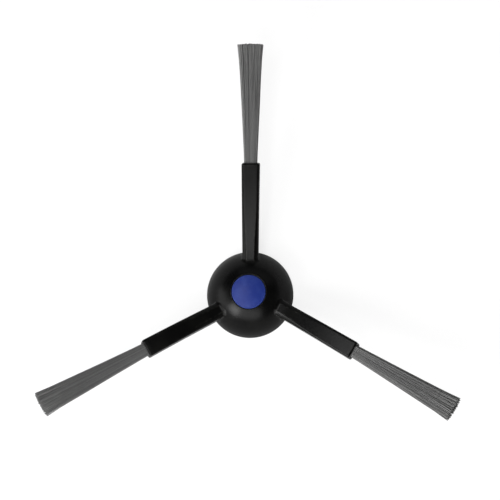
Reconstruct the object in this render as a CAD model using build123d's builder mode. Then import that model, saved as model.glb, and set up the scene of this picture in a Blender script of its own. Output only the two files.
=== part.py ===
from build123d import *
import math
import os

os.makedirs("parts", exist_ok=True)

# Overall layout, in millimetres and degrees
SWEEP_RADIUS = 80.0
ARM_COUNT = 3
FIRST_ARM_ANGLE = 90.0
ARM_RISE = 12.0

# Rubber hub, a cap of a ball that is hollow on the robot side
HUB_RADIUS = 14.6
HUB_HEIGHT = 12.0
HUB_WALL = 2.2
HOLLOW_STRAIGHT = 2.0
CROWN_THICKNESS = 5.0
RIM_CHAMFER = 0.4

# Rubber arms, from the hub flank to the open mouth
ARM_HEIGHT = 6.1
MOUTH_RADIUS = 41.0
ROOT_WIDTH = 5.3
ROOT_DEPTH = 5.0
MOUTH_WIDTH = 6.2
MOUTH_DEPTH = 4.7
ARM_EDGE = 1.3
ARM_BLEND = 1.2
MOUTH_CHAMFER = 0.3

# Blind pocket for a tuft
POCKET_WALL = 0.75
POCKET_DEPTH = 9.0

# Blue drive core
BUTTON_RADIUS = 5.75
BUTTON_THICKNESS = 2.3
BUTTON_RECESS = 0.15
BUTTON_BEVEL = 0.5
NECK_SIDES = 6
NECK_FLAT_RADIUS = 4.2
FLANGE_RADIUS = 8.0
FLANGE_THICKNESS = 1.8
FLANGE_GAP = 0.3
BOSS_RADIUS = 5.0
BORE_RADIUS = 3.0
BORE_DEPTH = 8.8
KEYWAY_WIDTH = 2.0
KEYWAY_DEPTH = 4.6
CORE_CLEARANCE = 0.05

# Bristle tufts
FILAMENT_WIDTH = 0.36
FILAMENT_GAP = 0.11
LATTICE_TURN = 12.0
ROOT_CLEARANCE = 0.05
ROOT_SETBACK = 2.5
ROOT_INSET = 0.2
TIP_WIDTH = 8.6
TIP_DEPTH = 4.2

# Ball through the rim circle and the crown of the hub
ball_radius = (HUB_RADIUS**2 + HUB_HEIGHT**2) / (2 * HUB_HEIGHT)
ball_z = HUB_HEIGHT - ball_radius
half_angle = math.acos(-ball_z / ball_radius) / 2
cap_mid = (ball_radius * math.sin(half_angle), ball_z + ball_radius * math.cos(half_angle))
cavity_top = HUB_HEIGHT - CROWN_THICKNESS
button_seat = HUB_HEIGHT - BUTTON_THICKNESS


def cap_height(radius):
    """Height of the hub's cap at a radius from the spin axis."""
    return ball_z + math.sqrt(ball_radius**2 - radius**2)


# Arm line in the XZ plane, rising outwards from the hub flank
rise = math.radians(ARM_RISE)
arm_top = Plane(
    origin=(HUB_RADIUS, 0, ARM_HEIGHT),
    x_dir=(math.cos(rise), 0, math.sin(rise)),
    z_dir=(-math.sin(rise), 0, math.cos(rise)),
)
arm_side = Plane(origin=arm_top.origin, x_dir=arm_top.x_dir, z_dir=-arm_top.y_dir)
mouth_reach = (MOUTH_RADIUS - HUB_RADIUS) / math.cos(rise)
tip_reach = (SWEEP_RADIUS - HUB_RADIUS) / math.cos(rise)
root_reach = -HUB_RADIUS / 2
pocket_width = MOUTH_WIDTH - 2 * POCKET_WALL
pocket_height = MOUTH_DEPTH - 2 * POCKET_WALL
pocket_round = ARM_EDGE - POCKET_WALL / 2


def arm_section(reach):
    """Plane across the arm line, with its local Y pointing up."""
    point = arm_top.from_local_coords(Vector(reach, 0, 0))
    return Plane(origin=point, x_dir=arm_top.y_dir, z_dir=arm_top.x_dir)


def tapered_strip(root_size, mouth_size):
    """Outline of the arm along its line, root_size wide at the hub flank."""
    grow = (mouth_size - root_size) / mouth_reach
    inner = (root_size + grow * root_reach) / 2
    outer = mouth_size / 2
    Polygon(
        (root_reach, -inner),
        (mouth_reach, -outer),
        (mouth_reach, outer),
        (root_reach, inner),
        align=None,
    )


# One rubber arm, tapered in both views, flat on the robot side and rounded on the floor side
with BuildPart() as arm:
    with BuildSketch(arm_top):
        tapered_strip(ROOT_WIDTH, MOUTH_WIDTH)
    extrude(amount=HUB_HEIGHT, both=True)
    with BuildSketch(arm_side):
        tapered_strip(ROOT_DEPTH, MOUTH_DEPTH)
    extrude(amount=HUB_HEIGHT, both=True, mode=Mode.INTERSECT)
    long_edges = arm.edges().filter_by(lambda e: e.length > mouth_reach)
    fillet(long_edges.sort_by(Axis.Z)[-2:], ARM_EDGE)
    chamfer(arm.faces().sort_by(Axis.X)[-1].edges(), MOUTH_CHAMFER)

# Blind pocket that a tuft is bonded into
with BuildPart() as pocket:
    with BuildSketch(arm_section(mouth_reach - POCKET_DEPTH)):
        RectangleRounded(pocket_width, pocket_height, pocket_round)
    extrude(amount=2 * POCKET_DEPTH)

# Rubber moulding: domed hub with its arms, blended all round but on the robot side of each root
with BuildPart() as rubber_spider:
    with BuildSketch(Plane.XZ):
        with BuildLine():
            Polyline((0, HUB_HEIGHT), (0, 0), (HUB_RADIUS, 0))
            ThreePointArc((HUB_RADIUS, 0), cap_mid, (0, HUB_HEIGHT))
        make_face()
    revolve(axis=Axis.Z)
    with PolarLocations(0, ARM_COUNT, start_angle=FIRST_ARM_ANGLE):
        add(arm.part)
    root_edges = rubber_spider.edges(Select.NEW).sort_by(Axis.Z)
    fillet(root_edges[ARM_COUNT:], ARM_BLEND)
    with BuildSketch(Plane.XZ):
        Polygon(
            (0, 0),
            (HUB_RADIUS - HUB_WALL, 0),
            (HUB_RADIUS - HUB_WALL, HOLLOW_STRAIGHT),
            (FLANGE_RADIUS + FLANGE_GAP, cavity_top),
            (0, cavity_top),
            align=None,
        )
    revolve(axis=Axis.Z, mode=Mode.SUBTRACT)
    rim = rubber_spider.faces().filter_by(Plane.XY).sort_by(Axis.Z)[0]
    chamfer(rim.edges(), RIM_CHAMFER)
    with BuildSketch(Plane.XY.offset(cavity_top)):
        RegularPolygon(NECK_FLAT_RADIUS + CORE_CLEARANCE, NECK_SIDES, major_radius=False)
    extrude(amount=HUB_HEIGHT, mode=Mode.SUBTRACT)
    with BuildSketch(Plane.XY.offset(button_seat)):
        Circle(BUTTON_RADIUS + CORE_CLEARANCE)
    extrude(amount=HUB_HEIGHT, mode=Mode.SUBTRACT)
    with PolarLocations(0, ARM_COUNT, start_angle=FIRST_ARM_ANGLE):
        add(pocket.part, mode=Mode.SUBTRACT)

# Blue core: bevelled button, hexagonal neck, flange and keyed socket for the drive shaft
button_rim = cap_height(BUTTON_RADIUS) - BUTTON_RECESS
button_top = button_rim + BUTTON_BEVEL
with BuildPart() as drive_core:
    with BuildSketch(Plane.XZ):
        Polygon(
            (0, button_top),
            (0, button_seat),
            (BUTTON_RADIUS, button_seat),
            (BUTTON_RADIUS, button_rim),
            (BUTTON_RADIUS - BUTTON_BEVEL, button_top),
            align=None,
        )
    revolve(axis=Axis.Z)
    with BuildSketch(Plane.XY.offset(cavity_top)):
        RegularPolygon(NECK_FLAT_RADIUS, NECK_SIDES, major_radius=False)
    extrude(amount=button_seat - cavity_top)
    with BuildSketch(Plane.XY.offset(cavity_top)):
        Circle(FLANGE_RADIUS)
    extrude(amount=-FLANGE_THICKNESS)
    with BuildSketch(Plane.XY):
        Circle(BOSS_RADIUS)
    extrude(amount=cavity_top - FLANGE_THICKNESS)
    with BuildSketch(Plane.XY):
        Circle(BORE_RADIUS)
    extrude(amount=BORE_DEPTH, mode=Mode.SUBTRACT)
    with BuildSketch(Plane.XY):
        Rectangle(2 * FLANGE_RADIUS, KEYWAY_WIDTH)
    extrude(amount=KEYWAY_DEPTH, mode=Mode.SUBTRACT)

# One tuft: a fused root block in the pocket, and straight filaments that fan out to the tip
block_width = pocket_width - 2 * ROOT_CLEARANCE
block_height = pocket_height - 2 * ROOT_CLEARANCE
block_round = pocket_round - ROOT_CLEARANCE
front_plane = arm_section(mouth_reach - ROOT_SETBACK)
fan_length = tip_reach - mouth_reach + ROOT_SETBACK
pitch = FILAMENT_WIDTH + FILAMENT_GAP
half_width = (block_width - FILAMENT_WIDTH) / 2 - ROOT_INSET
half_height = (block_height - FILAMENT_WIDTH) / 2 - ROOT_INSET
corner = min(block_round, half_height)
spread_across = (TIP_WIDTH - FILAMENT_WIDTH) / (2 * half_width) - 1
spread_up = (TIP_DEPTH - FILAMENT_WIDTH) / (2 * half_height) - 1


def lattice_point(row, column):
    """Centre of a filament on a turned triangular lattice across the root block."""
    across = (column + 0.5 * (row % 2)) * pitch
    up = row * pitch * math.sqrt(3) / 2
    turn = math.radians(LATTICE_TURN)
    return (
        across * math.cos(turn) - up * math.sin(turn),
        across * math.sin(turn) + up * math.cos(turn),
    )


def inside_block(u, v):
    """True where a filament centre lies inside the inset front face of the root block."""
    over_u = max(abs(u) - half_width + corner, 0.0)
    over_v = max(abs(v) - half_height + corner, 0.0)
    return math.hypot(over_u, over_v) <= corner


lattice_reach = math.ceil(block_width / pitch)
lattice = range(-lattice_reach, lattice_reach + 1)
filament_roots = [lattice_point(row, column) for row in lattice for column in lattice]
filament_roots = [root for root in filament_roots if inside_block(*root)]

with BuildPart() as tuft:
    with BuildSketch(arm_section(mouth_reach - POCKET_DEPTH)):
        RectangleRounded(block_width, block_height, block_round)
    extrude(amount=POCKET_DEPTH - ROOT_SETBACK)
    filaments = []
    for u, v in filament_roots:
        lean = front_plane.from_local_coords(Vector(u * spread_across, v * spread_up, fan_length))
        along = lean - front_plane.origin
        with BuildSketch(front_plane, mode=Mode.PRIVATE) as section:
            with Locations((u, v)):
                Rectangle(FILAMENT_WIDTH, FILAMENT_WIDTH)
        filament = extrude(section.sketch, amount=along.length, dir=along.normalized(), mode=Mode.PRIVATE)
        filaments.append(filament)
    add(filaments)

rubber_spider.part.label = "rubber_spider"
export_step(rubber_spider.part, "parts/rubber_spider.step")

drive_core.part.label = "drive_core"
export_step(drive_core.part, "parts/drive_core.step")

for index in range(ARM_COUNT):
    bristle_tuft = tuft.part.rotate(Axis.Z, FIRST_ARM_ANGLE + 360.0 * index / ARM_COUNT)
    bristle_tuft.label = f"bristle_tuft_{index + 1}"
    export_step(bristle_tuft, f"parts/bristle_tuft_{index + 1}.step")
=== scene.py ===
"""Looks of a robot vacuum side brush: a rubber spider, a blue drive core and three nylon tufts.

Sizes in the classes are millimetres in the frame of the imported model, with +Z along the spin axis towards the
blue button and +Y along the first arm. They become metres where a surface is put into its mesh.
"""
import logging
import math
from dataclasses import dataclass, field
from enum import Enum

import bpy
import numpy as np
from mathutils import Matrix, Vector


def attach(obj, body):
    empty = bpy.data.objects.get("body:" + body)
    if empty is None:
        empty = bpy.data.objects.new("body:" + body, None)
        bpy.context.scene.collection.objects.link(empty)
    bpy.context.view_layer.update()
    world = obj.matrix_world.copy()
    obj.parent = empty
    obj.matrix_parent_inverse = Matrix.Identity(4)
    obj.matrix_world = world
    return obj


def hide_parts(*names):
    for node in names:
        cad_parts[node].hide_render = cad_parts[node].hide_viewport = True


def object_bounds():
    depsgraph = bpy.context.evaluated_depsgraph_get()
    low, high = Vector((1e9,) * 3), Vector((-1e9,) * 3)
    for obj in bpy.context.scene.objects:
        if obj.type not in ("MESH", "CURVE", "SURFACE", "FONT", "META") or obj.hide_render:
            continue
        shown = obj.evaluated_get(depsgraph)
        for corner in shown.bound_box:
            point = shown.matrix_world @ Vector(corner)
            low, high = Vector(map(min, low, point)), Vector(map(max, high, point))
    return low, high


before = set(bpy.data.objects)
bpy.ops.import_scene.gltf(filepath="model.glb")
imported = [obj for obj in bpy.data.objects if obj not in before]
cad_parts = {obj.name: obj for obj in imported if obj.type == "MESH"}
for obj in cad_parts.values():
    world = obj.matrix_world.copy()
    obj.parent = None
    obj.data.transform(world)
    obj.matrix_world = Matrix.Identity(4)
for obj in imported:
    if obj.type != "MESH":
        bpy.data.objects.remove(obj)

CAD_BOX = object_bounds()
METRES = 0.001
SEED = 31
TINY = 1e-6
# Octaves of the noise textures, and the middle range of the values that they give
BROAD_DETAIL, FINE_DETAIL, GRAIN_DETAIL = 3.0, 4.0, 2.0
NOISE_SPAN = {"From Min": 0.3, "From Max": 0.7}
log = logging.getLogger("side_brush")
Array = np.ndarray


class Slot(Enum):
    """Material slots of the record."""

    RUBBER = "black_rubber"
    PLASTIC = "blue_plastic"
    NYLON = "grey_nylon"


def linear(code: str) -> tuple[float, float, float, float]:
    """Turn an sRGB hex colour into linear RGBA.

    Args:
        code: Colour written as "#rrggbb".

    Returns:
        Linear red, green, blue and full alpha.
    """
    srgb = np.array([int(code[i:i + 2], 16) for i in (1, 3, 5)]) / 255.0
    rgb = np.where(srgb <= 0.04045, srgb / 12.92, ((srgb + 0.055) / 1.055) ** 2.4)
    return (*rgb.tolist(), 1.0)


def per_metre(size_mm: float) -> float:
    """Scale of a texture whose features are size_mm across."""
    return 1.0 / (size_mm * METRES)


def add_node(tree: bpy.types.NodeTree, kind: str, inputs: dict | None = None, **settings) -> bpy.types.Node:
    """Add one shader node with its settings, values and links.

    Args:
        tree: Node tree that takes the node.
        kind: Blender's name for the type of node.
        inputs: For each input, its value or the output socket that feeds it.
        settings: Properties of the node itself.

    Returns:
        The new node.
    """
    node = tree.nodes.new(kind)
    for name, value in settings.items():
        setattr(node, name, value)
    for name, value in (inputs or {}).items():
        if isinstance(value, bpy.types.NodeSocket):
            tree.links.new(value, node.inputs[name])
        else:
            node.inputs[name].default_value = value
    return node


def new_material(name: str) -> tuple[bpy.types.Material, bpy.types.NodeTree]:
    """Make an empty material with nodes.

    Args:
        name: Name of the material.

    Returns:
        The material and its cleared node tree.
    """
    material = bpy.data.materials.new(name)
    material.use_nodes = True
    material.node_tree.nodes.clear()
    return material, material.node_tree


@dataclass(frozen=True)
class MouldedRubber:
    """Black thermoplastic rubber from an eroded steel mould: a satin skin that only shines broadly."""

    name: str = "moulded_black_tpe"
    black: str = "#040404"
    bloom: str = "#080807"
    roughness: tuple[float, float] = (0.27, 0.32)
    ior: float = 1.22
    grain_mm: float = 0.45
    grain_height_mm: float = 0.035
    grain_strength: float = 0.3
    flow_mm: float = 9.0
    patches: tuple[float, float] = (0.4, 0.7)
    rubbed: str = "#1d1d1b"
    scuff_mm: float = 1.4
    edge: str = "edge_wear"

    def material(self) -> bpy.types.Material:
        """Build the rubber material.

        Returns:
            A satin black with faint bloom in patches and greyer scuffs along its edges. The mould grain is drawn
            coarser and deeper than the real one of about 0.1 mm, which would be too fine to show.
        """
        material, tree = new_material(self.name)
        span = {"From Min": self.patches[0], "From Max": self.patches[1]}
        place = add_node(tree, "ShaderNodeTexCoord").outputs["Object"]
        flow = add_node(
            tree, "ShaderNodeTexNoise",
            {"Vector": place, "Scale": per_metre(self.flow_mm), "Detail": BROAD_DETAIL},
        ).outputs["Fac"]
        bloom = add_node(
            tree, "ShaderNodeMapRange", {"Value": flow, **span}, interpolation_type="SMOOTHSTEP"
        ).outputs["Result"]
        colour = add_node(
            tree, "ShaderNodeMix",
            {"Factor": bloom, "A": linear(self.black), "B": linear(self.bloom)}, data_type="RGBA",
        ).outputs["Result"]
        scuffs = add_node(
            tree, "ShaderNodeTexNoise",
            {"Vector": place, "Scale": per_metre(self.scuff_mm), "Detail": FINE_DETAIL},
        ).outputs["Fac"]
        scuffs = add_node(
            tree, "ShaderNodeMapRange", {"Value": scuffs, **span}, interpolation_type="SMOOTHSTEP"
        ).outputs["Result"]
        edge = add_node(tree, "ShaderNodeAttribute", attribute_name=self.edge).outputs["Fac"]
        scuffs = add_node(tree, "ShaderNodeMath", {0: scuffs, 1: edge}, operation="MULTIPLY").outputs["Value"]
        colour = add_node(
            tree, "ShaderNodeMix", {"Factor": scuffs, "A": colour, "B": linear(self.rubbed)}, data_type="RGBA"
        ).outputs["Result"]
        rough = add_node(
            tree, "ShaderNodeMapRange",
            {"Value": flow, **NOISE_SPAN, "To Min": self.roughness[0], "To Max": self.roughness[1]},
        ).outputs["Result"]
        grain = add_node(
            tree, "ShaderNodeTexNoise",
            {"Vector": place, "Scale": per_metre(self.grain_mm), "Detail": GRAIN_DETAIL},
        ).outputs["Fac"]
        bump = add_node(
            tree, "ShaderNodeBump",
            {"Height": grain, "Strength": self.grain_strength, "Distance": self.grain_height_mm * METRES},
        ).outputs["Normal"]
        shader = add_node(
            tree, "ShaderNodeBsdfPrincipled",
            {"Base Color": colour, "Roughness": rough, "IOR": self.ior, "Normal": bump},
        )
        add_node(tree, "ShaderNodeOutputMaterial", {"Surface": shader.outputs["BSDF"]})
        return material


@dataclass(frozen=True)
class MouldedPlastic:
    """Blue acetal, moulded and slightly waxy: an even satin colour with faint handling marks."""

    name: str = "moulded_blue_acetal"
    blue: str = "#1a2a6c"
    worn: str = "#243474"
    roughness: tuple[float, float] = (0.32, 0.4)
    ior: float = 1.24
    wear_mm: float = 2.6
    patches: tuple[float, float] = (0.4, 0.75)
    grain_mm: float = 0.4
    grain_height_mm: float = 0.006
    grain_strength: float = 0.3
    rubbed: str = "#3a4a8e"
    edge: str = "edge_wear"

    def material(self) -> bpy.types.Material:
        """Build the plastic material.

        Returns:
            A satin blue that is a little paler and rougher in soft patches of wear, and palest along its edges.
        """
        material, tree = new_material(self.name)
        place = add_node(tree, "ShaderNodeTexCoord").outputs["Object"]
        wear = add_node(
            tree, "ShaderNodeTexNoise",
            {"Vector": place, "Scale": per_metre(self.wear_mm), "Detail": FINE_DETAIL},
        ).outputs["Fac"]
        paler = add_node(
            tree, "ShaderNodeMapRange",
            {"Value": wear, "From Min": self.patches[0], "From Max": self.patches[1]},
            interpolation_type="SMOOTHSTEP",
        ).outputs["Result"]
        colour = add_node(
            tree, "ShaderNodeMix",
            {"Factor": paler, "A": linear(self.blue), "B": linear(self.worn)}, data_type="RGBA",
        ).outputs["Result"]
        edge = add_node(tree, "ShaderNodeAttribute", attribute_name=self.edge).outputs["Fac"]
        scuffs = add_node(tree, "ShaderNodeMath", {0: wear, 1: edge}, operation="MULTIPLY").outputs["Value"]
        colour = add_node(
            tree, "ShaderNodeMix", {"Factor": scuffs, "A": colour, "B": linear(self.rubbed)}, data_type="RGBA"
        ).outputs["Result"]
        rough = add_node(
            tree, "ShaderNodeMapRange",
            {"Value": wear, **NOISE_SPAN, "To Min": self.roughness[0], "To Max": self.roughness[1]},
        ).outputs["Result"]
        grain = add_node(
            tree, "ShaderNodeTexNoise",
            {"Vector": place, "Scale": per_metre(self.grain_mm), "Detail": GRAIN_DETAIL},
        ).outputs["Fac"]
        bump = add_node(
            tree, "ShaderNodeBump",
            {"Height": grain, "Strength": self.grain_strength, "Distance": self.grain_height_mm * METRES},
        ).outputs["Normal"]
        shader = add_node(
            tree, "ShaderNodeBsdfPrincipled",
            {"Base Color": colour, "Roughness": rough, "IOR": self.ior, "Normal": bump},
        )
        add_node(tree, "ShaderNodeOutputMaterial", {"Surface": shader.outputs["BSDF"]})
        return material


@dataclass(frozen=True)
class DrawnNylon:
    """Grey nylon monofilament, drawn smooth: each strand has its own shade, a thin soft gleam, paler scuffs and
    painted light at the tip.
    """

    name: str = "drawn_grey_nylon"
    dark: str = "#353535"
    pale: str = "#656565"
    scuffed_and_lit_grey: str = "#868684"
    roughness: tuple[float, float] = (0.42, 0.58)
    ior: float = 1.53
    stretch_mm: float = 2.2
    nick_mm: float = 0.3
    nick_height_mm: float = 0.01
    nick_strength: float = 0.4
    # Over this run the strands grow paler towards the tip: partly scuffing, partly painted light that lifts the shade
    # there.
    tip_run: tuple[float, float] = (0.55, 1.0)
    tip_scuffs_and_painted_light: tuple[float, float] = (0.2, 0.6)
    tone: str = "strand_tone"
    run: str = "strand_run"

    def material(self) -> bpy.types.Material:
        """Build the nylon material.

        Returns:
            A grey between dark and pale, by the tone that each strand carries, with stretches along the strand that
            show paler scuffs and are duller. The paleness grows towards the tip, partly as scuffing and partly as
            painted light that lifts the shade there. The nicks are drawn coarser than real ones of
            about 0.02 mm, which would be too fine to show.
        """
        material, tree = new_material(self.name)
        tone = add_node(tree, "ShaderNodeAttribute", attribute_name=self.tone).outputs["Fac"]
        run = add_node(tree, "ShaderNodeAttribute", attribute_name=self.run).outputs["Fac"]
        colour = add_node(
            tree, "ShaderNodeMix",
            {"Factor": tone, "A": linear(self.dark), "B": linear(self.pale)}, data_type="RGBA",
        ).outputs["Result"]
        place = add_node(tree, "ShaderNodeTexCoord").outputs["Object"]
        stretch = add_node(
            tree, "ShaderNodeTexNoise",
            {"Vector": place, "Scale": per_metre(self.stretch_mm), "Detail": BROAD_DETAIL},
        ).outputs["Fac"]
        # Paler towards the tip: partly scuffed wear, partly painted light over the tuft's shade near its tip.
        tip = add_node(
            tree, "ShaderNodeMapRange",
            {
                "Value": run, "From Min": self.tip_run[0], "From Max": self.tip_run[1],
                "To Min": self.tip_scuffs_and_painted_light[0], "To Max": self.tip_scuffs_and_painted_light[1],
            },
        ).outputs["Result"]
        scuffs = add_node(tree, "ShaderNodeMath", {0: stretch, 1: tip}, operation="MULTIPLY").outputs["Value"]
        colour = add_node(
            tree, "ShaderNodeMix", {"Factor": scuffs, "A": colour, "B": linear(self.scuffed_and_lit_grey)}, data_type="RGBA"
        ).outputs["Result"]
        rough = add_node(
            tree, "ShaderNodeMapRange",
            {"Value": stretch, **NOISE_SPAN, "To Min": self.roughness[0], "To Max": self.roughness[1]},
        ).outputs["Result"]
        nicks = add_node(
            tree, "ShaderNodeTexNoise",
            {"Vector": place, "Scale": per_metre(self.nick_mm), "Detail": GRAIN_DETAIL},
        ).outputs["Fac"]
        bump = add_node(
            tree, "ShaderNodeBump",
            {"Height": nicks, "Strength": self.nick_strength, "Distance": self.nick_height_mm * METRES},
        ).outputs["Normal"]
        shader = add_node(
            tree, "ShaderNodeBsdfPrincipled",
            {"Base Color": colour, "Roughness": rough, "IOR": self.ior, "Normal": bump},
        )
        add_node(tree, "ShaderNodeOutputMaterial", {"Surface": shader.outputs["BSDF"]})
        return material


@dataclass(frozen=True)
class WhiteSweep:
    """Matt pale studio floor that shows as white and keeps a faint shadow."""

    name: str = "white_studio_floor"
    grey: str = "#b4b4b4"
    white: str = "#fafafa"
    glow: float = 0.8
    mirrored_glow: float = 0.12

    def material(self) -> bpy.types.Material:
        """Build the floor material.

        Returns:
            Matt pale grey that camera rays see as white. Plain white is mixed in for camera rays, and less for glossy
            and transmission rays, so that the shadow also shows in the rubber's gloss.
        """
        material, tree = new_material(self.name)
        path = add_node(tree, "ShaderNodeLightPath").outputs
        mirrored = add_node(
            tree, "ShaderNodeMath", {0: path["Is Glossy Ray"], 1: path["Is Transmission Ray"]}, operation="MAXIMUM"
        ).outputs["Value"]
        share = add_node(
            tree, "ShaderNodeMath", {0: mirrored, 1: self.mirrored_glow}, operation="MULTIPLY"
        ).outputs["Value"]
        share = add_node(
            tree, "ShaderNodeMath", {0: path["Is Camera Ray"], 1: self.glow, 2: share}, operation="MULTIPLY_ADD"
        ).outputs["Value"]
        colour = add_node(
            tree, "ShaderNodeMix",
            {"Factor": path["Is Camera Ray"], "A": linear(self.grey), "B": linear(self.white)}, data_type="RGBA",
        )
        matt = add_node(tree, "ShaderNodeBsdfDiffuse", {"Color": colour.outputs["Result"]}).outputs["BSDF"]
        glow = add_node(tree, "ShaderNodeEmission", {"Strength": 1.0}).outputs["Emission"]
        mix = add_node(tree, "ShaderNodeMixShader", {0: share, 1: matt, 2: glow}).outputs["Shader"]
        add_node(tree, "ShaderNodeOutputMaterial", {"Surface": mix})
        return material


def bend(before: Array, corner: Array, after: Array, steps: int) -> Array:
    """Round corners with quadratic curves, (1 - t)^2 before + 2 t (1 - t) corner + t^2 after.

    Args:
        before: Where each curve starts, shape (..., axes).
        corner: The corner that each curve rounds.
        after: Where each curve ends.
        steps: Points along each curve.

    Returns:
        Points of shape (steps, ..., axes).
    """
    t = np.linspace(0.0, 1.0, steps).reshape((-1,) + (1,) * before.ndim)
    return (1 - t) ** 2 * before + 2 * t * (1 - t) * corner + t**2 * after


def soften(path: Array, sizes: Array, steps: int = 7) -> Array:
    """Round the corners of a closed path in a plane.

    A corner of size c is a curve from c before it to c after it, and a corner of size 0 stays a point.

    Args:
        path: Corners, shape (corners, 2).
        sizes: Size of each rounding.
        steps: Points along each rounding.

    Returns:
        Points of the rounded path, shape (points, 2).
    """
    back = np.roll(path, 1, axis=0) - path
    ahead = np.roll(path, -1, axis=0) - path
    before = path + sizes[:, None] * back / np.linalg.norm(back, axis=1, keepdims=True)
    after = path + sizes[:, None] * ahead / np.linalg.norm(ahead, axis=1, keepdims=True)
    curves = np.swapaxes(bend(before, path, after, steps), 0, 1)
    kept = np.ones(curves.shape[:2], bool)
    kept[sizes == 0, 1:] = False
    return curves[kept]


def revolve(profile: Array, around: int) -> Array:
    """Turn a profile about Z: x = r cos a, y = r sin a, z = h.

    Args:
        profile: Radius and height of each point, shape (points, 2).
        around: Points in each ring.

    Returns:
        One ring for each profile point, shape (points, around, 3).
    """
    angle = np.linspace(0.0, 2 * math.pi, around, endpoint=False)
    radius = profile[:, :1]
    height = np.repeat(profile[:, 1:], around, axis=1)
    return np.stack([radius * np.cos(angle), radius * np.sin(angle), height], axis=-1)


def turned(points: Array, degrees: float) -> Array:
    """Turn points about Z: x' = x cos a - y sin a, y' = x sin a + y cos a."""
    angle = math.radians(degrees)
    spin = np.array([[math.cos(angle), -math.sin(angle), 0], [math.sin(angle), math.cos(angle), 0], [0, 0, 1]])
    return points @ spin.T


@dataclass(frozen=True)
class Surface:
    """A closed mesh as whole arrays: points in millimetres, quads, and rings of points that flat ends close."""

    points: Array
    quads: Array
    ends: tuple[Array, ...] = ()

    @classmethod
    def skin(cls, rings: Array, looped: bool = False) -> "Surface":
        """Cover stacks of closed rings with quads, with faces outwards.

        Args:
            rings: Shape (stacks, rings, points, 3).
            looped: True where the last ring joins the first, and otherwise flat ends close each stack.

        Returns:
            The closed surface of all the stacks.
        """
        stacks, rows, columns, _ = rings.shape
        number = np.arange(stacks * rows * columns).reshape(stacks, rows, columns)
        ends = () if looped else (np.concatenate([number[:, 0, ::-1], number[:, -1]]),)
        if looped:
            number = np.concatenate([number, number[:, :1]], axis=1)
        beside = np.roll(number, -1, axis=2)
        quads = np.stack([number[:, :-1], beside[:, :-1], beside[:, 1:], number[:, 1:]], axis=-1)
        surface = cls(rings.reshape(-1, 3), quads.reshape(-1, 4), ends)
        return surface if surface.volume() > 0 else surface.flipped()

    @classmethod
    def join(cls, surfaces: list["Surface"]) -> "Surface":
        """Put several surfaces into one.

        Args:
            surfaces: The surfaces.

        Returns:
            One surface that holds them all.
        """
        starts = np.cumsum([0] + [len(s.points) for s in surfaces[:-1]])
        return cls(
            np.concatenate([s.points for s in surfaces]),
            np.concatenate([s.quads + start for s, start in zip(surfaces, starts)]),
            tuple(end + start for s, start in zip(surfaces, starts) for end in s.ends),
        )

    def flipped(self) -> "Surface":
        """The same surface with its faces turned round."""
        return Surface(self.points, self.quads[:, ::-1], tuple(end[:, ::-1] for end in self.ends))

    def face_vectors(self) -> list[tuple[Array, Array]]:
        """Face normals times area, half the sum of p[i] x p[i + 1] about each face's middle.

        Returns:
            For the quads and each group of ends, the point numbers and the vector of each face.
        """
        groups = []
        for faces in (self.quads, *self.ends):
            corners = self.points[faces]
            corners = corners - corners.mean(axis=1, keepdims=True)
            groups.append((faces, np.cross(corners, np.roll(corners, -1, axis=1)).sum(axis=1) / 2))
        return groups

    def volume(self) -> float:
        """Volume inside, a third of the sum of face middle . face vector."""
        return sum(
            float(np.einsum("ij,ij->", self.points[faces].mean(axis=1), vectors)) / 3
            for faces, vectors in self.face_vectors()
        )

    def normals(self) -> Array:
        """Point normals, the mean of the faces around a point weighted by area, so that flats stay flat."""
        normals = np.zeros_like(self.points)
        for faces, vectors in self.face_vectors():
            np.add.at(normals, faces.ravel(), np.repeat(vectors, faces.shape[1], axis=0))
        return normals / np.linalg.norm(normals, axis=1, keepdims=True)

    def edge_wear(self, blunt: float = 0.8, sharp: float = 2.4) -> Array:
        """How much each point is rubbed, from its sharpest bend along the sides of its quads.

        The bend from a to b is (n_b - n_a) . (p_b - p_a) / |p_b - p_a|^2, which is one over the radius where the
        surface is convex. Wear grows from 0 at the blunt bend to 1 at the sharp one.

        Args:
            blunt: Bend without wear, in 1/mm.
            sharp: Bend with full wear, in 1/mm.

        Returns:
            Wear of each point, from 0 to 1.
        """
        normals = self.normals()
        first, second = self.quads.ravel(), np.roll(self.quads, -1, axis=1).ravel()
        step = self.points[second] - self.points[first]
        turn = normals[second] - normals[first]
        bends = np.einsum("ij,ij->i", turn, step) / np.maximum(np.einsum("ij,ij->i", step, step), TINY)
        sharpest = np.zeros(len(self.points))
        np.maximum.at(sharpest, first, bends)
        np.maximum.at(sharpest, second, bends)
        return np.clip((sharpest - blunt) / (sharp - blunt), 0.0, 1.0)

    def to_object(self, name: str, material: bpy.types.Material, traits: dict[str, Array]) -> bpy.types.Object:
        """Put the surface into a smooth mesh, in metres.

        Args:
            name: Name of the object and its mesh.
            material: Its material.
            traits: Values of each point that the material reads, by name.

        Returns:
            The object, at the origin.
        """
        groups = (self.quads, *self.ends)
        corners = np.concatenate([faces.ravel() for faces in groups])
        counts = np.concatenate([np.full(len(faces), faces.shape[1]) for faces in groups])
        mesh = bpy.data.meshes.new(name)
        mesh.vertices.add(len(self.points))
        mesh.vertices.foreach_set("co", (self.points * METRES).ravel())
        mesh.loops.add(len(corners))
        mesh.loops.foreach_set("vertex_index", corners)
        mesh.polygons.add(len(counts))
        mesh.polygons.foreach_set("loop_start", np.cumsum(counts) - counts)
        mesh.polygons.foreach_set("use_smooth", np.ones(len(counts), bool))
        mesh.update(calc_edges=True)
        mesh.normals_split_custom_set_from_vertices(self.normals())
        mesh.materials.append(material)
        for trait, values in traits.items():
            mesh.attributes.new(trait, "FLOAT", "POINT").data.foreach_set("value", values.astype(np.float32))
        piece = bpy.data.objects.new(name, mesh)
        bpy.context.scene.collection.objects.link(piece)
        return piece


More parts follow.
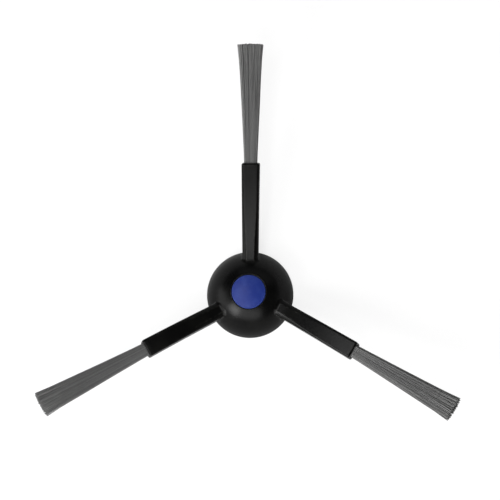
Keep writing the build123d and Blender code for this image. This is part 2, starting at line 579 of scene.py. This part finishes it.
def seat(piece: bpy.types.Object, node: str) -> None:
    """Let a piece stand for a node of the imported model.

    Args:
        piece: The finished piece.
        node: Node that it replaces.
    """
    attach(piece, "root")
    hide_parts(node)
    log.info("%s replaces %s: %d faces", piece.name, node, len(piece.data.polygons))


@dataclass
class ArmLine:
    """The line that an arm and its tuft follow, rising outwards from the hub's flank.

    The rubber is soft, so each arm sits a little further out and to one side, and its tuft is cut a little longer or
    leans to the side at its tip.
    """

    degrees: float
    outset: float = 0.0
    aside: float = 0.0
    longer: float = 0.0
    sway: float = 0.0
    rise_degrees: float = 12.0
    start_radius: float = 14.6
    start_height: float = 6.1
    mouth_radius: float = 41.0
    tip_radius: float = 80.0
    bow: float = -0.5

    def __post_init__(self) -> None:
        """Work out the line's directions and the reach of its mouth and tip."""
        rise, turn = math.radians(self.rise_degrees), math.radians(self.degrees)
        out = np.array([math.cos(turn), math.sin(turn), 0.0])
        high = np.array([0.0, 0.0, 1.0])
        self.along = math.cos(rise) * out + math.sin(rise) * high
        self.up = math.cos(rise) * high - math.sin(rise) * out
        self.side = np.cross(self.up, self.along)
        self.start = self.start_radius * out + self.start_height * high + self.aside * self.side
        self.mouth = (self.mouth_radius - self.start_radius) / math.cos(rise) + self.outset
        self.tip = (self.tip_radius - self.start_radius) / math.cos(rise) + self.outset + self.longer

    def place(self, reach: Array, across: Array, up: Array) -> Array:
        """Points at start + reach along + across side + (up - bow) normal.

        The arm bows by 4 b x (1 - x), with x from 0 at the hub to 1 at the mouth, so it rises a little more near
        the hub than near its end.

        Args:
            reach: Distance along the line.
            across: Distance to the side.
            up: Distance square to the line, away from the robot.

        Returns:
            Points, with a last axis of 3.
        """
        x = np.clip(np.asarray(reach) / self.mouth, 0.0, 1.0)
        steps = np.stack(np.broadcast_arrays(reach, across, up - 4 * self.bow * x * (1 - x)), axis=-1)
        return self.start + steps @ np.stack([self.along, self.side, self.up])


@dataclass
class RubberSpider:
    """The rubber moulding: a hollow domed hub with three arms, each with a blind pocket in its end."""

    lines: tuple[ArmLine, ...]
    finish: MouldedRubber
    hub_radius: float = 14.6
    hub_height: float = 12.0
    hub_wall: float = 2.2
    hollow_straight: float = 2.0
    hollow_top: float = 7.0
    hollow_top_radius: float = 8.3
    neck_radius: float = 4.25
    seat_radius: float = 5.8
    seat_height: float = 9.7
    lip_round: float = 0.35
    rim_round: float = 0.5
    inner_round: float = 0.6
    root_width: float = 5.3
    root_depth: float = 5.0
    mouth_width: float = 6.1
    mouth_depth: float = 4.7
    root_bevel: tuple[float, float] = (1.35, 1.05)
    root_power: float = 1.25
    mouth_bevel: tuple[float, float] = (0.9, 0.85)
    mouth_power: float = 2.0
    root_low_round: float = 0.3
    mouth_low_round: float = 0.8
    bevel_until: float = 0.1
    rounded_from: float = 0.6
    blend: float = 0.95
    low_blend: float = 0.35
    root_sink: float = 0.01
    mouth_round: float = 0.55
    pocket_wall: float = 0.75
    pocket_depth: float = 9.0
    pocket_round: float = 0.9
    pocket_edge: float = 0.2
    around: int = 224
    dome_points: int = 50
    arm_rings: int = 26
    blend_rings: int = 12
    mouth_rings: int = 7
    pocket_rings: int = 5
    corner_points: int = 11
    side_points: int = 7

    def __post_init__(self) -> None:
        """Work out the ball whose cap is the dome."""
        self.ball_radius = (self.hub_radius**2 + self.hub_height**2) / (2 * self.hub_height)
        self.ball_height = self.hub_height - self.ball_radius
        self.ball = np.array([0.0, 0.0, self.ball_height])

    def cap(self, radius: Array) -> Array:
        """Height of the dome at a radius: ball height + sqrt(R^2 - r^2)."""
        return self.ball_height + np.sqrt(self.ball_radius**2 - radius**2)

    def hub(self) -> Surface:
        """Dome, rim and hollow as one closed profile turned about the spin axis.

        Returns:
            The hub's surface.
        """
        inner = math.asin(self.seat_radius / self.ball_radius)
        outer = math.acos(-self.ball_height / self.ball_radius)
        tilt = np.linspace(inner, outer, self.dome_points)
        dome = np.stack([np.sin(tilt), np.cos(tilt)], axis=-1) * self.ball_radius + [0.0, self.ball_height]
        wall = self.hub_radius - self.hub_wall
        back = np.array([
            (wall, 0.0),
            (wall, self.hollow_straight),
            (self.hollow_top_radius, self.hollow_top),
            (self.neck_radius, self.hollow_top),
            (self.neck_radius, self.seat_height),
            (self.seat_radius, self.seat_height),
        ])
        sizes = np.zeros(len(dome) + len(back))
        sizes[0] = self.lip_round
        sizes[len(dome) - 1:len(dome) + 1] = self.rim_round
        sizes[len(dome) + 1:len(dome) + 3] = self.inner_round
        path = np.concatenate([dome, back])
        return Surface.skin(revolve(soften(path, sizes), self.around)[None], looped=True)

    def section(self, width: Array, depth: Array, top: Array, low: Array, power: Array) -> Array:
        """Outlines across the arm: rectangles whose corners are superellipses, |u / a|^p + |v / b|^p = 1.

        A power of 1 is a flat bevel and 2 an ellipse, so an arm is bevelled at its root and rounded at its mouth.

        Args:
            width: Full width of each outline.
            depth: Full depth of each outline.
            top: Width and depth of the corners on the floor side, shape (outlines, 2).
            low: Size of the corners on the robot side.
            power: Power of the superellipse.

        Returns:
            Points across and up, shape (outlines, points, 2), counter-clockwise.
        """
        quarter = np.linspace(0.0, math.pi / 2, self.corner_points)
        angle = quarter + math.pi / 2 * np.array([-1, 0, 1, 2])[:, None]
        sides = np.array([(1, -1), (1, 1), (-1, 1), (-1, -1)])
        low = np.stack([low, low], axis=-1)
        size = np.stack([low, top, top, low], axis=1)[:, :, None, :]
        half = np.stack([width, depth], axis=-1)[:, None, None, :] / 2
        direction = np.stack([np.cos(angle), np.sin(angle)], axis=-1)
        direction = np.sign(direction) * np.abs(direction) ** (2 / power)[:, None, None, None]
        corners = sides[:, None, :] * (half - size) + size * direction
        share = np.linspace(0.0, 1.0, self.side_points + 2)[1:-1, None]
        ahead = np.roll(corners[:, :, :1], -1, axis=1)
        straights = corners[:, :, -1:] * (1 - share) + ahead * share
        return np.concatenate([corners, straights], axis=2).reshape(len(width), -1, 2)

    def root(self, line: ArmLine, outline: Array) -> tuple[Array, Array]:
        """Blend from the dome to the arm.

        Each point of the root's outline runs along the arm's line and meets the ball |p - c| = R. From a point
        on the ball beside the arm, a quadratic curve leaves along the ball's tangent plane, (p - q) . n = 0, and
        ends on the arm, so it is smooth at both ends.

        Args:
            line: Line of the arm.
            outline: Outline of the root, shape (points, 2).

        Returns:
            Points of the blend, shape (steps, points, 3), and the reach at which it ends.
        """
        along = line.along
        base = line.place(np.zeros(len(outline)), outline[:, 0], outline[:, 1])
        offset = base - self.ball
        run = offset @ along
        reach = -run + np.sqrt(run**2 - (offset**2).sum(axis=1) + self.ball_radius**2)
        step = np.roll(outline, -1, axis=0) - np.roll(outline, 1, axis=0)
        outward = np.stack([step[:, 1], -step[:, 0]], axis=-1)
        outward /= np.linalg.norm(outward, axis=1, keepdims=True)
        size = self.blend + (self.low_blend - self.blend) * np.clip(-outward[:, 1], 0.0, 1.0) ** 2
        spread = outline + outward * size[:, None]
        normal = line.place(reach, spread[:, 0], spread[:, 1]) - self.ball
        normal /= np.linalg.norm(normal, axis=1, keepdims=True)
        beside = self.ball + self.ball_radius * normal
        gap = beside - line.place(reach, outline[:, 0], outline[:, 1])
        reach = reach + (gap * normal).sum(axis=1) / (normal @ along)
        corner = line.place(reach, outline[:, 0], outline[:, 1])
        end = reach + size
        return bend(beside, corner, line.place(end, outline[:, 0], outline[:, 1]), self.blend_rings), end

    def arm(self, line: ArmLine) -> Array:
        """Rings of one arm, from inside the hub's wall over the blend and the mouth into its pocket.

        The bevelled outline of the root turns into the rounded one of the mouth by s = 3 t^2 - 2 t^3 along the arm.

        Args:
            line: Line of the arm.

        Returns:
            Points, shape (rings, points, 3).
        """
        share = np.linspace(0.0, 1.0, self.arm_rings)
        ease = np.clip((share - self.bevel_until) / (self.rounded_from - self.bevel_until), 0.0, 1.0)
        ease = ease**2 * (3 - 2 * ease)
        bevel, rounded = np.array(self.root_bevel), np.array(self.mouth_bevel)
        outlines = self.section(
            self.root_width + (self.mouth_width - self.root_width) * share,
            self.root_depth + (self.mouth_depth - self.root_depth) * share,
            bevel + (rounded - bevel) * ease[:, None],
            self.root_low_round + (self.mouth_low_round - self.root_low_round) * ease,
            self.root_power + (self.mouth_power - self.root_power) * ease,
        )
        blend, end = self.root(line, outlines[0])
        reach = end + (line.mouth - self.mouth_round - end) * share[1:, None]
        wall = line.place(reach, outlines[1:, :, 0], outlines[1:, :, 1])
        sunk = self.ball + (blend[:1] - self.ball) * (1 - self.root_sink / self.ball_radius)
        return np.concatenate([sunk, blend, wall, self.mouth(line)])

    def mouth(self, line: ArmLine) -> Array:
        """Rings over the rounded end of an arm and down its pocket.

        The outer edge is a quarter round: inset r (1 - cos a) at reach mouth - r (1 - sin a).

        Args:
            line: Line of the arm.

        Returns:
            Points, shape (rings, points, 3).
        """
        angle = np.linspace(0.0, math.pi / 2, self.mouth_rings)[1:]
        inset = self.mouth_round * (1 - np.cos(angle))
        outer = self.section(
            self.mouth_width - 2 * inset,
            self.mouth_depth - 2 * inset,
            np.array(self.mouth_bevel) - inset[:, None],
            self.mouth_low_round - inset,
            np.full_like(inset, self.mouth_power),
        )
        outer_reach = line.mouth - self.mouth_round * (1 - np.sin(angle))
        angle = np.linspace(0.0, math.pi / 2, self.pocket_rings)
        grow = np.append(self.pocket_edge * (1 - np.sin(angle)), 0.0)
        inner = self.section(
            self.mouth_width - 2 * self.pocket_wall + 2 * grow,
            self.mouth_depth - 2 * self.pocket_wall + 2 * grow,
            np.full(2, self.pocket_round) + grow[:, None],
            self.pocket_round + grow,
            np.full_like(grow, self.mouth_power),
        )
        inner_reach = np.append(line.mouth - self.pocket_edge * (1 - np.cos(angle)), line.mouth - self.pocket_depth)
        outlines = np.concatenate([outer, inner])
        reach = np.concatenate([outer_reach, inner_reach])[:, None]
        return line.place(reach, outlines[:, :, 0], outlines[:, :, 1])

    def build(self) -> bpy.types.Object:
        """Make the spider's piece and seat it.

        Returns:
            The piece.
        """
        arms = Surface.skin(np.stack([self.arm(line) for line in self.lines]))
        surface = Surface.join([self.hub(), arms])
        wear = {self.finish.edge: surface.edge_wear()}
        piece = surface.to_object("moulded_spider", self.finish.material(), wear)
        seat(piece, "rubber_spider")
        return piece


@dataclass
class DriveCore:
    """The blue moulding: a button in the dome, a neck, a flange and the keyed socket for the shaft."""

    finish: MouldedPlastic
    button_radius: float = 5.72
    button_edge_height: float = 10.68
    button_crown: float = 0.62
    button_round: float = 0.45
    seat_height: float = 9.72
    neck_radius: float = 4.2
    flange_radius: float = 8.0
    flange_top: float = 6.98
    flange_low: float = 5.2
    boss_radius: float = 5.0
    bore_radius: float = 3.0
    bore_depth: float = 8.8
    keyway_width: float = 2.0
    keyway_depth: float = 4.6
    edge_round: float = 0.25
    joint_step: float = 0.02
    pole_share: float = 0.004
    end_share: float = 0.98
    around: int = 160
    crown_points: int = 26
    wall_points: int = 60
    edge_points: int = 6

    def body(self) -> Surface:
        """Button, neck, flange and bore as one profile turned about the spin axis.

        The button's face is a crown, h = edge + crown (1 - (r / R)^2). The poles are closed by tiny flat ends.

        Returns:
            The body's surface down to the keyway's end.
        """
        share = np.linspace(self.pole_share, 1.0, self.crown_points)
        boss, bore = self.boss_radius - self.joint_step, self.bore_radius + self.joint_step
        crown = np.stack(
            [share * self.button_radius, self.button_edge_height + self.button_crown * (1 - share**2)], axis=-1
        )
        rest = np.array([
            (self.button_radius, self.seat_height),
            (self.neck_radius, self.seat_height),
            (self.neck_radius, self.flange_top),
            (self.flange_radius, self.flange_top),
            (self.flange_radius, self.flange_low),
            (boss, self.flange_low),
            (boss, self.keyway_depth),
            (bore, self.keyway_depth),
            (bore, self.bore_depth),
            (share[0], self.bore_depth),
        ])
        path = np.concatenate([crown, rest])
        sizes = np.zeros(len(path))
        sizes[len(crown) - 1] = self.button_round
        sizes[len(crown) + 3:len(crown) + 6] = self.edge_round
        return Surface.skin(revolve(soften(path, sizes), self.around)[None])

    def socket(self) -> Surface:
        """The two walls of the socket, on each side of the keyway, as rounded bars bent round the axis.

        A point at share q along a wall and radius r lies at angle e + q (pi - 2 e), with e = asin(k / 2 r), so
        that the keyway's sides are parallel. The end face is drawn in almost to the wall's middle line.

        Returns:
            The surface of both walls.
        """
        middle = (self.bore_radius + self.boss_radius) / 2
        half = (self.boss_radius - self.bore_radius) / 2
        length = middle * (math.pi - 2 * math.asin(self.keyway_width / 2 / middle))
        angle = np.linspace(0.0, math.pi / 2, self.edge_points)
        inset = np.concatenate([[half * self.end_share], self.edge_round * (1 - np.sin(angle)), [0.0]])
        height = np.concatenate([[0.0], self.edge_round * (1 - np.cos(angle)), [self.keyway_depth + self.edge_round]])
        share = np.linspace(0.0, 1.0, self.wall_points)
        near = np.stack([share * length, np.full_like(share, -half)], axis=-1)
        outline = np.concatenate([near, near[::-1] * [1, -1]])
        shrink = np.stack([1 - 2 * inset / length, 1 - inset / half], axis=-1)[:, None, :]
        bent = (outline - [length / 2, 0]) * shrink
        radius = middle + bent[..., 1]
        edge = np.arcsin(self.keyway_width / 2 / radius)
        turn = edge + (bent[..., 0] / length + 0.5) * (math.pi - 2 * edge)
        level = np.broadcast_to(height[:, None], radius.shape)
        wall = np.stack([radius * np.cos(turn), radius * np.sin(turn), level], axis=-1)
        return Surface.skin(np.stack([wall, turned(wall, 180.0)]))

    def build(self) -> bpy.types.Object:
        """Make the core's piece and seat it.

        Returns:
            The piece.
        """
        surface = Surface.join([self.body(), self.socket()])
        wear = {self.finish.edge: surface.edge_wear()}
        piece = surface.to_object("keyed_core", self.finish.material(), wear)
        seat(piece, "drive_core")
        return piece


@dataclass
class BristleTuft:
    """One tuft of nylon strands that leaves an arm's pocket and fans out to an even cut."""

    line: ArmLine
    finish: DrawnNylon
    number: int
    bundle_width: float = 4.4
    bundle_depth: float = 2.9
    corner: float = 0.8
    strand_width: float = 0.2
    pitch: float = 0.216
    root_depth: float = 7.0
    spread_across: float = 0.9
    spread_up: float = 0.4
    flick: float = 0.13
    flick_power: int = 9
    root_jitter: float = 0.12
    cut_jitter: float = 0.09
    cut_curve: float = 0.25
    overshoot: float = 1.1
    wander: float = 0.1
    half_waves: float = 3.0
    wave_share: float = 0.5
    stray_share: float = 0.05
    stray: float = 0.35
    width_spread: float = 0.07
    tone_middle: float = 0.5
    tone_spread: float = 0.2
    rings: int = 10
    sides: int = 6

    def roots(self, dice: np.random.Generator) -> Array:
        """Places of the strands in the pocket: a triangular lattice with a little jitter, in a rounded outline.

        Args:
            dice: Seeded source of random numbers.

        Returns:
            Across and up of each strand, shape (strands, 2).
        """
        count = math.ceil(self.bundle_width / self.pitch)
        row, column = np.mgrid[-count:count + 1, -count:count + 1]
        across = (column + 0.5 * (row % 2)) * self.pitch
        up = row * self.pitch * math.sqrt(3) / 2
        half = np.array([self.bundle_width, self.bundle_depth]) / 2 - self.strand_width / 2
        spots = np.stack([across.ravel(), up.ravel()], axis=-1)
        over = np.maximum(np.abs(spots) - half + self.corner, 0.0)
        spots = spots[np.linalg.norm(over, axis=1) <= self.corner]
        return spots + dice.normal(0.0, self.root_jitter * self.pitch, spots.shape)

    def strands(self, dice: np.random.Generator) -> tuple[Array, dict[str, Array]]:
        """Rings of every strand.

        With x from 0 at the mouth to 1 at the tip, a strand lies at root (1 + a x + f x^9) + sway x + lean x^2 plus a
        slight wave w x sin(3 pi x + p), so the fan is nearly straight and flicks out at its end. The cut curves back
        towards the sides by c e^2, with e from 0 in the middle to 1 at the side.

        Args:
            dice: Seeded source of random numbers.

        Returns:
            Points of shape (strands, rings, sides, 3), and by name the tone of each point's strand and how far
            the point lies from mouth to tip, both from 0 to 1.
        """
        roots = self.roots(dice)
        count = len(roots)
        edge = np.abs(roots[:, 0]) / (self.bundle_width / 2)
        cut = self.line.tip + dice.normal(0.0, self.cut_jitter, count) - self.cut_curve * edge**2
        start = self.line.mouth - self.root_depth
        share = np.linspace(0.0, 1.0, self.rings)
        reach = start + (cut[:, None] - start) * share
        x = np.clip((reach - self.line.mouth) / (self.line.tip - self.line.mouth), 0.0, self.overshoot)[..., None]
        spread = np.array([self.spread_across, self.spread_up])
        fan = roots[:, None, :] * (1 + spread * x + self.flick * x**self.flick_power)
        stray = (dice.random((count, 1)) < self.stray_share) * self.stray
        lean = dice.normal(0.0, 1.0, (count, 2)) * (self.wander + stray)
        phase = dice.uniform(0.0, 2 * math.pi, (count, 1, 2))
        wave = self.wander * x * np.sin(self.half_waves * math.pi * x + phase) * self.wave_share
        middle = fan + np.array([self.line.sway, 0.0]) * x + lean[:, None, :] * x**2 + wave
        angle = np.linspace(0.0, 2 * math.pi, self.sides, endpoint=False) + dice.uniform(0, 1, (count, 1))
        size = self.strand_width / 2 * dice.normal(1.0, self.width_spread, (count, 1))
        ring = np.stack([size * np.cos(angle), size * np.sin(angle)], axis=-1)[:, None]
        points = middle[:, :, None, :] + ring
        tone = np.clip(dice.normal(self.tone_middle, self.tone_spread, count), 0.0, 1.0)
        traits = {
            self.finish.tone: np.repeat(tone, self.rings * self.sides),
            self.finish.run: np.repeat(x.ravel(), self.sides),
        }
        return self.line.place(reach[:, :, None], points[..., 0], points[..., 1]), traits

    def build(self) -> bpy.types.Object:
        """Make the tuft's piece and seat it.

        Returns:
            The piece.
        """
        dice = np.random.default_rng(SEED + self.number)
        rings, traits = self.strands(dice)
        surface = Surface.skin(rings)
        piece = surface.to_object(f"nylon_tuft_{self.number}", self.finish.material(), traits)
        seat(piece, f"bristle_tuft_{self.number}")
        return piece


@dataclass(frozen=True)
class Softbox:
    """A soft studio lamp that faces the hub."""

    name: str
    azimuth: float
    elevation: float
    size: tuple[float, float]
    watts: float
    distance: float = 0.9
    colour: str = "#ffffff"

    def build(self) -> None:
        """Put the lamp in the scene, at its azimuth from +X and its elevation in degrees."""
        around, above = math.radians(self.azimuth), math.radians(self.elevation)
        toward = Vector((math.cos(around) * math.cos(above), math.sin(around) * math.cos(above), math.sin(above)))
        lamp = bpy.data.lights.new(self.name, "AREA")
        lamp.shape = "RECTANGLE"
        lamp.size, lamp.size_y = self.size
        lamp.energy = self.watts
        lamp.color = linear(self.colour)[:3]
        holder = bpy.data.objects.new(self.name, lamp)
        holder.location = toward * self.distance
        holder.rotation_euler = toward.to_track_quat("Z", "Y").to_euler()
        bpy.context.scene.collection.objects.link(holder)
        log.info("%s: %.1f W at %.2f m", self.name, self.watts, self.distance)


@dataclass
class Studio:
    """White floor, soft lamps and the camera above the brush."""

    floor: WhiteSweep = field(default_factory=WhiteSweep)
    floor_size: float = 3.0
    floor_gap: float = 0.02
    camera_distance: float = 2016.7
    tilt_to_near: float = 6.61
    tilt_to_right: float = 3.03
    roll: float = -0.5
    hub_offset: tuple[float, float] = (0.08, -15.14)
    lens_mm: float = 432.0
    sensor_mm: float = 36.0
    view_limit: float = 10.0
    lamps: tuple[Softbox, ...] = (
        Softbox("near_overhead_softbox", 242.0, 67.0, (0.4, 0.25), 2.5),
        Softbox("left_overhead_softbox", 158.0, 74.0, (0.36, 0.16), 1.8),
        Softbox("near_softbox", 262.0, 36.0, (1.15, 0.5), 7.2),
        Softbox("near_left_softbox", 223.0, 31.0, (0.4, 0.36), 5.5),
        Softbox("left_softbox", 192.0, 21.0, (0.6, 0.22), 0.9),
        Softbox("left_low_strip", 187.0, 8.5, (0.7, 0.2), 1.15),
        Softbox("far_softbox", 74.0, 35.0, (1.4, 0.5), 1.0),
    )
    sky: str = "#ffffff"
    ambient: float = 0.065
    horizon: tuple[float, float] = (0.06, 0.16)

    def camera(self) -> None:
        """Aim the camera: the picture's axes are Ry(right) Rx(near) Rz(roll), and the hub sits off its middle."""
        near = Matrix.Rotation(math.radians(-self.tilt_to_near), 3, "X")
        right = Matrix.Rotation(math.radians(-self.tilt_to_right), 3, "Y")
        turn = Matrix.Rotation(math.radians(self.roll), 3, "Z")
        picture = (right @ near @ turn).transposed()
        lens = bpy.data.cameras.new("photo_camera")
        lens.lens = self.lens_mm
        lens.sensor_width = self.sensor_mm
        lens.clip_end = self.view_limit
        camera = bpy.data.objects.new("photo_camera", lens)
        place = picture @ Vector((-self.hub_offset[0], -self.hub_offset[1], self.camera_distance)) * METRES
        camera.matrix_world = Matrix.Translation(place) @ picture.to_4x4()
        bpy.context.scene.collection.objects.link(camera)
        bpy.context.scene.camera = camera

    def backdrop(self) -> None:
        """Lay the floor just under the rim, and set a dim world that is white near the horizon."""
        half = self.floor_size / 2
        corners = np.array([(-half, -half), (half, -half), (half, half), (-half, half)])
        mesh = bpy.data.meshes.new("studio_floor")
        level = CAD_BOX[0][2] - self.floor_gap * METRES
        mesh.from_pydata([(x, y, level) for x, y in corners], [], [(0, 1, 2, 3)])
        mesh.materials.append(self.floor.material())
        floor = bpy.data.objects.new("studio_floor", mesh)
        bpy.context.scene.collection.objects.link(floor)
        world = bpy.data.worlds.new("studio_world")
        world.use_nodes = True
        tree = world.node_tree
        tree.nodes.clear()
        direction = add_node(tree, "ShaderNodeTexCoord").outputs["Generated"]
        height = add_node(tree, "ShaderNodeSeparateXYZ", {"Vector": direction}).outputs["Z"]
        strength = add_node(
            tree, "ShaderNodeMapRange",
            {
                "Value": height, "From Min": self.horizon[0], "From Max": self.horizon[1],
                "To Min": 1.0, "To Max": self.ambient,
            },
        ).outputs["Result"]
        light = add_node(
            tree, "ShaderNodeBackground", {"Color": linear(self.sky), "Strength": strength}
        ).outputs["Background"]
        add_node(tree, "ShaderNodeOutputWorld", {"Surface": light})
        bpy.context.scene.world = world

    def build(self) -> None:
        """Set up the floor, the world, the lamps and the camera."""
        self.backdrop()
        for lamp in self.lamps:
            lamp.build()
        self.camera()
        bpy.context.scene.view_settings.view_transform = "Standard"


def main() -> None:
    """Build every piece of the brush, then the studio."""
    logging.basicConfig(level=logging.INFO, format="%(name)s: %(message)s")
    lines = (
        ArmLine(90.0, outset=2.2, aside=-0.2, sway=0.25),
        ArmLine(210.0, outset=-1.5, aside=0.1, longer=0.3),
        ArmLine(329.5, outset=-0.2, aside=1.0),
    )
    RubberSpider(lines, MouldedRubber()).build()
    DriveCore(MouldedPlastic()).build()
    for number, line in enumerate(lines, 1):
        BristleTuft(line, DrawnNylon(), number).build()
    Studio().build()


if __name__ == "__main__":
    main()
